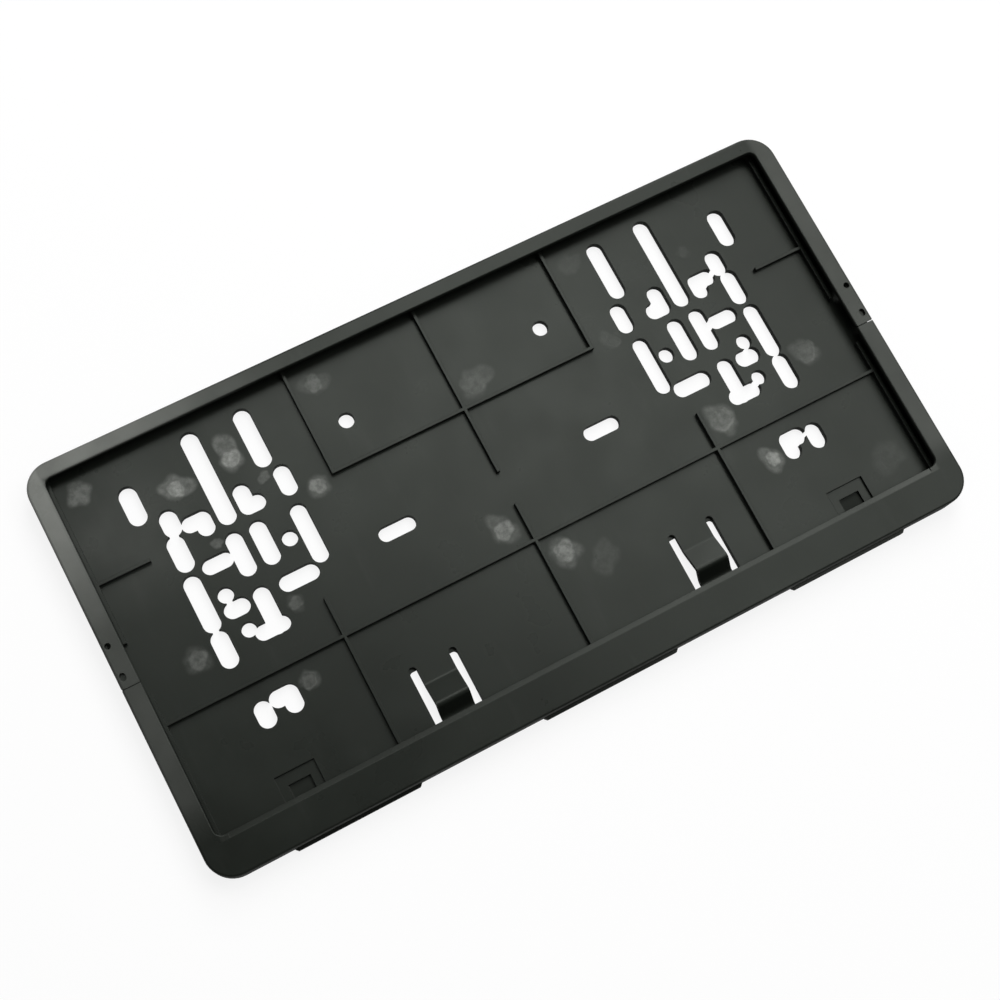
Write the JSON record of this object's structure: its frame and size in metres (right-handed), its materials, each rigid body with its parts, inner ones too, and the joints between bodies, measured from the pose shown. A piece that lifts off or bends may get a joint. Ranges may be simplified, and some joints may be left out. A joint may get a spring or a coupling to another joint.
{
  "type": "number plate holder",
  "caption": "Flat black plastic number plate holder: slotted back tray with a raised frame whose lower half hinges up to let the plate in.",
  "frame": {"origin": "middle of the frame's outer rectangle, on the flat back", "axes": "+X to the right along the long side, +Y to the top rail, +Z out of the face"},
  "size_m": [0.3146, 0.1652, 0.011],
  "materials": {
    "tray_plastic": "black moulded plastic, satin, with pale ejector marks",
    "bezel_plastic": "black moulded plastic, satin"
  },
  "bodies": {
    "tray": {"base_tray": "tray_plastic"},
    "bezel": {"lower_bezel": "bezel_plastic"}
  },
  "joints": [
    {"name": "bezel_hinge", "type": "hinge", "parent": "tray", "child": "bezel", "pos_m": [0, -0.0093, 0.0075], "axis": [-1, 0, 0], "range_deg": [0, 90]}
  ]
}
